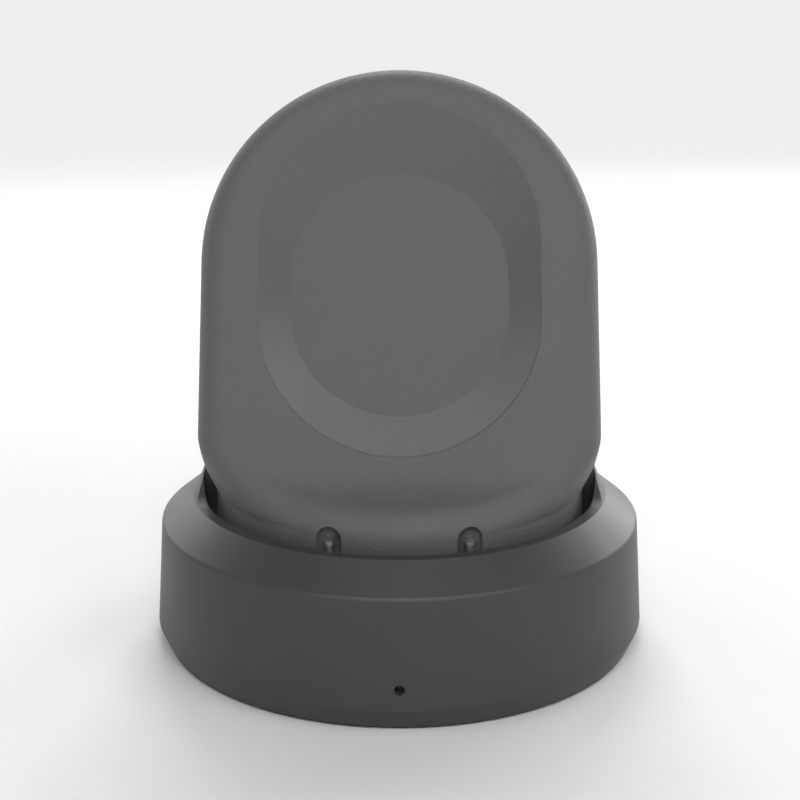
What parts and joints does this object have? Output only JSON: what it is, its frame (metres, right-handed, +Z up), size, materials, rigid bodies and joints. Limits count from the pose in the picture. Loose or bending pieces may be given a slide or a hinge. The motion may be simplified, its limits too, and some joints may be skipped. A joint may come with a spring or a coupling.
{
  "type": "smartwatch charging stand",
  "caption": "Upright smartwatch charging stand: a round weighted base ring, a leaning arched seat with a dished recess over the coil, and a rear power socket.",
  "frame": {"origin": "centre of the base's round footprint, on the table plane under the rubber foot", "axes": "+Z up; -Y is the front, towards which the seat faces; +X is to the viewer's right when the front is seen"},
  "size_m": [0.0615, 0.0614, 0.0701],
  "materials": {
    "housing_charcoal": "satin moulded charcoal plastic",
    "seat_soft_touch": "fine-textured soft-touch charcoal coat",
    "cover_black": "moulded black plastic",
    "foot_rubber": "matt rubber",
    "zinc_steel": "zinc-plated sheet",
    "board_green": "solder mask on glass-fibre board",
    "tin_plate": "tin-plated folded sheet",
    "insulator_black": "moulded insulator",
    "contact_gold": "gold-plated contact",
    "epoxy_black": "moulded epoxy package",
    "ferrite_grey": "sintered ferrite",
    "ceramic_tan": "fired ceramic",
    "can_steel": "drawn metal can",
    "lens_milky": "milky encapsulation",
    "pipe_clear": "clear moulded light guide",
    "film_amber": "polyimide film",
    "coil_copper": "enamelled copper winding",
    "magnet_nickel": "nickel-plated magnet",
    "screw_steel": "plated steel screw",
    "pin_steel": "polished steel pin"
  },
  "bodies": {
    "root": {"outer_housing": "housing_charcoal", "cradle": "seat_soft_touch", "bottom_cover": "cover_black", "foot_ring": "foot_rubber", "ballast_plate": "zinc_steel", "main_board": "board_green", "usb_shell": "tin_plate", "usb_tongue": "insulator_black", "usb_contacts": "contact_gold", "charger_chip": "epoxy_black", "inductor": "ferrite_grey", "capacitors": "ceramic_tan", "crystal": "can_steel", "status_led": "lens_milky", "light_pipe": "pipe_clear", "flex_connector": "insulator_black", "coil_flex": "film_amber", "coil_tray": "cover_black", "ferrite_shield": "ferrite_grey", "charging_coil": "coil_copper", "holding_magnet": "magnet_nickel", "tray_screws": "screw_steel", "cradle_screws": "screw_steel", "board_screws": "screw_steel", "cover_screws": "screw_steel", "guide_pin_left": "pin_steel", "guide_pin_right": "pin_steel"}
  },
  "joints": []
}
